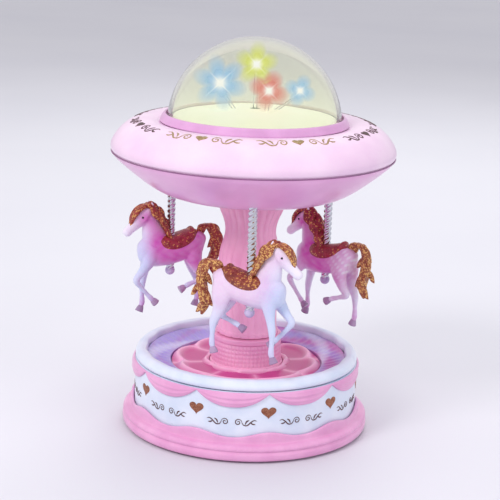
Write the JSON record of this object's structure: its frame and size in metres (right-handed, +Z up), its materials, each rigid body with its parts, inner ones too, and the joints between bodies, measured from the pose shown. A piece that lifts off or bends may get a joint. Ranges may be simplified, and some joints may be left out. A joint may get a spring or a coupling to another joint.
{
  "type": "carousel music box",
  "caption": "Battery carousel music box: round base with column, a turning canopy that carries horses on twisted poles, and a clear lamp dome.",
  "frame": {"origin": "on the table, under the middle of the base", "axes": "+Z up along the column; the front is -Y and +X is the viewer's right"},
  "size_m": [0.151, 0.151, 0.2107],
  "materials": {
    "foot_pink": "moulded pink plastic with a pearly sheen",
    "white_pearl": "moulded white plastic with a pearly sheen",
    "deck_lavender": "moulded lavender plastic with a pearly sheen",
    "petal_magenta": "moulded magenta plastic",
    "column_pink": "moulded pink plastic, satin",
    "canopy_pink": "moulded lilac-pink plastic with a foil print",
    "canopy_mauve": "moulded mauve plastic",
    "clear_plastic": "clear polystyrene, polished",
    "chrome": "chrome plated, twisted",
    "horse_paint": "pearl white plastic, airbrushed magenta, with glitter on mane and tail",
    "white_abs": "fine moulded texture",
    "rubber": "matt",
    "steel": "zinc plated",
    "brass": "turned",
    "gear_nylon": "natural nylon",
    "black_plastic": "moulded",
    "cell_sleeve": "printed sleeve, no marks",
    "paper_cone": "pressed paper",
    "board_green": "solder mask",
    "lamp_blue": "tinted clear epoxy",
    "lamp_yellow": "tinted clear epoxy",
    "lamp_red": "tinted clear epoxy"
  },
  "bodies": {
    "base": {"foot_ring": "foot_pink", "base_drum": "white_pearl", "swag_ring": "foot_pink", "rim_ring": "white_pearl", "deck_tray": "deck_lavender", "deck_rosette": "petal_magenta", "column_pedestal": "column_pink", "column_shaft": "column_pink", "bottom_cover": "white_abs", "rubber_foot_1": "rubber", "rubber_foot_2": "rubber", "rubber_foot_3": "rubber", "cover_screw_1": "steel", "cover_screw_2": "steel", "cover_screw_3": "steel", "battery_box": "white_abs", "battery_1": "cell_sleeve", "battery_2": "cell_sleeve", "battery_3": "cell_sleeve", "contact_plate_left": "steel", "contact_plate_right": "steel", "speaker_frame": "steel", "speaker_cone": "paper_cone", "circuit_board": "board_green", "switch_body": "black_plastic", "chassis_plate": "white_abs", "motor": "steel", "gear_pin_1": "steel", "gear_pin_2": "steel", "lower_bush": "brass", "upper_bush": "brass", "led_mast": "steel", "led_board": "board_green", "led_blue_large": "lamp_blue", "led_yellow": "lamp_yellow", "led_red": "lamp_red", "led_blue_small": "lamp_blue"},
    "carousel": {"output_gear": "gear_nylon", "drive_tube": "steel", "hub_clamp": "white_abs", "canopy_lower_shell": "canopy_mauve", "canopy_upper_shell": "canopy_pink", "dome_collar": "canopy_mauve", "dome": "clear_plastic", "pole_1": "chrome", "pole_cap_1": "brass", "horse_1": "horse_paint", "pole_2": "chrome", "pole_cap_2": "brass", "horse_2": "horse_paint", "pole_3": "chrome", "pole_cap_3": "brass", "horse_3": "horse_paint"},
    "second_gear": {"compound_gear_2": "gear_nylon"},
    "first_gear": {"compound_gear_1": "gear_nylon"},
    "motor_shaft": {"motor_pinion": "brass"},
    "battery_door": {"battery_door": "white_abs", "battery_door_screw": "steel"},
    "switch_knob": {"switch_slider": "black_plastic"}
  },
  "joints": [
    {"name": "carousel_spin", "type": "hinge", "parent": "base", "child": "carousel", "pos_m": [0, 0, 0.024], "axis": [0, 0, 1], "continuous": true},
    {"name": "second_gear_spin", "type": "hinge", "parent": "base", "child": "second_gear", "pos_m": [-0.01905, -0.011, 0.024], "axis": [0, 0, 1], "continuous": true},
    {"name": "first_gear_spin", "type": "hinge", "parent": "base", "child": "first_gear", "pos_m": [-0.01005, -0.02659, 0.024], "axis": [0, 0, 1], "continuous": true},
    {"name": "motor_spin", "type": "hinge", "parent": "base", "child": "motor_shaft", "pos_m": [-0.02727, -0.03185, 0.024], "axis": [0, 0, 1], "continuous": true},
    {"name": "battery_door_hinge", "type": "hinge", "parent": "base", "child": "battery_door", "pos_m": [0, 0.0443, 0.0023], "axis": [1, 0, 0], "range_deg": [0, 100]},
    {"name": "power_switch", "type": "slide", "parent": "base", "child": "switch_knob", "axis": [1, 0, 0], "range_m": [0, 0.003]}
  ],
  "couplings": [
    {"joint": "second_gear_spin", "follows": "carousel_spin", "ratio": -4.5},
    {"joint": "first_gear_spin", "follows": "carousel_spin", "ratio": 15.75},
    {"joint": "motor_spin", "follows": "carousel_spin", "ratio": -55.125}
  ]
}
